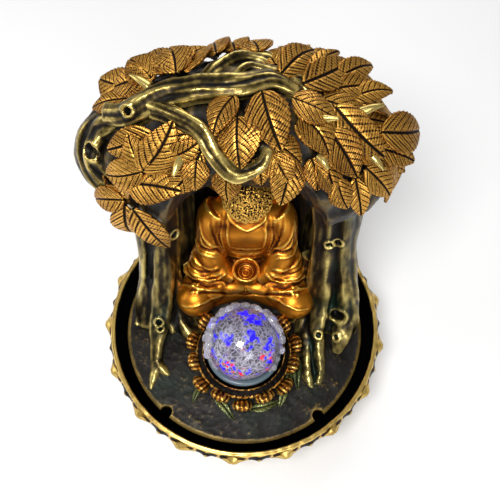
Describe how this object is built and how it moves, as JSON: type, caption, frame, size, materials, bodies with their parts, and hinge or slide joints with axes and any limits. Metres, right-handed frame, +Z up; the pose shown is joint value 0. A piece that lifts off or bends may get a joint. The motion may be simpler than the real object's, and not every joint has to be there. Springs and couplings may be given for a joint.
{
  "type": "tabletop water fountain",
  "caption": "Tabletop water fountain: seated figure under a leafy tree, lit glass ball rolling in a lotus cup, rocky plate in a lotus-petal basin, small pump below.",
  "frame": {"origin": "middle of the basin's foot, on the surface that the rubber feet stand on", "axes": "+Z up, +Y to the back, so the figure faces -Y and +X is to the right seen from the front"},
  "size_m": [0.2117, 0.2124, 0.2776],
  "materials": {
    "basin_gold": "antique gold paint on cast resin, dark patina in the folds, black inside",
    "figure_gold": "satin orange-gold metallic lacquer on cast resin",
    "leaf_gold": "dry-brushed gold over black veins",
    "bark_bronze": "olive bronze paint, rubbed bright on the ridges",
    "earth_resin": "dark stony paint with gold dry-brush and green wash",
    "rubber_black": "soft black rubber",
    "pump_plastic": "black ABS",
    "ceramic_white": "white ceramic and magnet coating",
    "steel_core": "laminated steel",
    "seat_grey": "grey moulded plastic",
    "hose_vinyl": "clear vinyl tube",
    "led_white": "white lamp board",
    "crackle_glass": "clear glass, crackled inside"
  },
  "bodies": {
    "base": {"basin": "basin_gold", "foot_pad_1": "rubber_black", "foot_pad_2": "rubber_black", "foot_pad_3": "rubber_black", "foot_pad_4": "rubber_black", "pump_housing": "pump_plastic", "stator_core": "steel_core", "stator_cover": "pump_plastic", "volute_cover": "pump_plastic", "rear_bush": "rubber_black", "front_bush": "rubber_black", "impeller_shaft": "ceramic_white", "intake_grille": "pump_plastic", "suction_cup_1": "rubber_black", "suction_cup_2": "rubber_black", "suction_cup_3": "rubber_black", "suction_cup_4": "rubber_black", "cable_gland": "rubber_black"},
    "statue": {"ground_plate": "earth_resin", "lotus_cup": "basin_gold", "ball_seat": "seat_grey", "led_ring": "led_white", "led_lens": "crackle_glass", "riser_hose": "hose_vinyl", "alms_bowl": "figure_gold", "seated_figure": "figure_gold", "halo_disc": "figure_gold", "seat_rock": "earth_resin", "branch_main": "bark_bronze", "branch_fork": "bark_bronze", "branch_left": "bark_bronze", "branch_ridge": "bark_bronze", "branch_curl": "bark_bronze", "spray_top_left": "leaf_gold", "spray_left": "leaf_gold", "spray_low_left": "leaf_gold", "spray_centre": "leaf_gold", "spray_front": "leaf_gold", "spray_top_right": "leaf_gold", "spray_right": "leaf_gold", "spray_low_right": "leaf_gold", "spray_back_right": "leaf_gold", "spray_back": "leaf_gold", "spray_back_left": "leaf_gold", "crown_heart": "bark_bronze", "trunk_left": "bark_bronze", "trunk_right": "bark_bronze", "grotto_wall": "bark_bronze"},
    "ball": {"crystal_ball": "crackle_glass"},
    "rotor": {"impeller": "ceramic_white"},
    "dial": {"flow_dial": "pump_plastic"}
  },
  "joints": [
    {"name": "statue_lift", "type": "slide", "parent": "base", "child": "statue", "axis": [0, 0, 1], "range_m": [0, 0.08]},
    {"name": "ball_roll", "type": "hinge", "parent": "statue", "child": "ball", "pos_m": [0, -0.03, 0.087], "axis": [1, 0, 0], "continuous": true},
    {"name": "impeller_spin", "type": "hinge", "parent": "base", "child": "rotor", "pos_m": [0, -0.02, 0.025], "axis": [0, 1, 0], "continuous": true},
    {"name": "flow_dial_turn", "type": "hinge", "parent": "base", "child": "dial", "pos_m": [0, -0.042, 0.025], "axis": [0, 1, 0], "range_deg": [0, 90]}
  ]
}
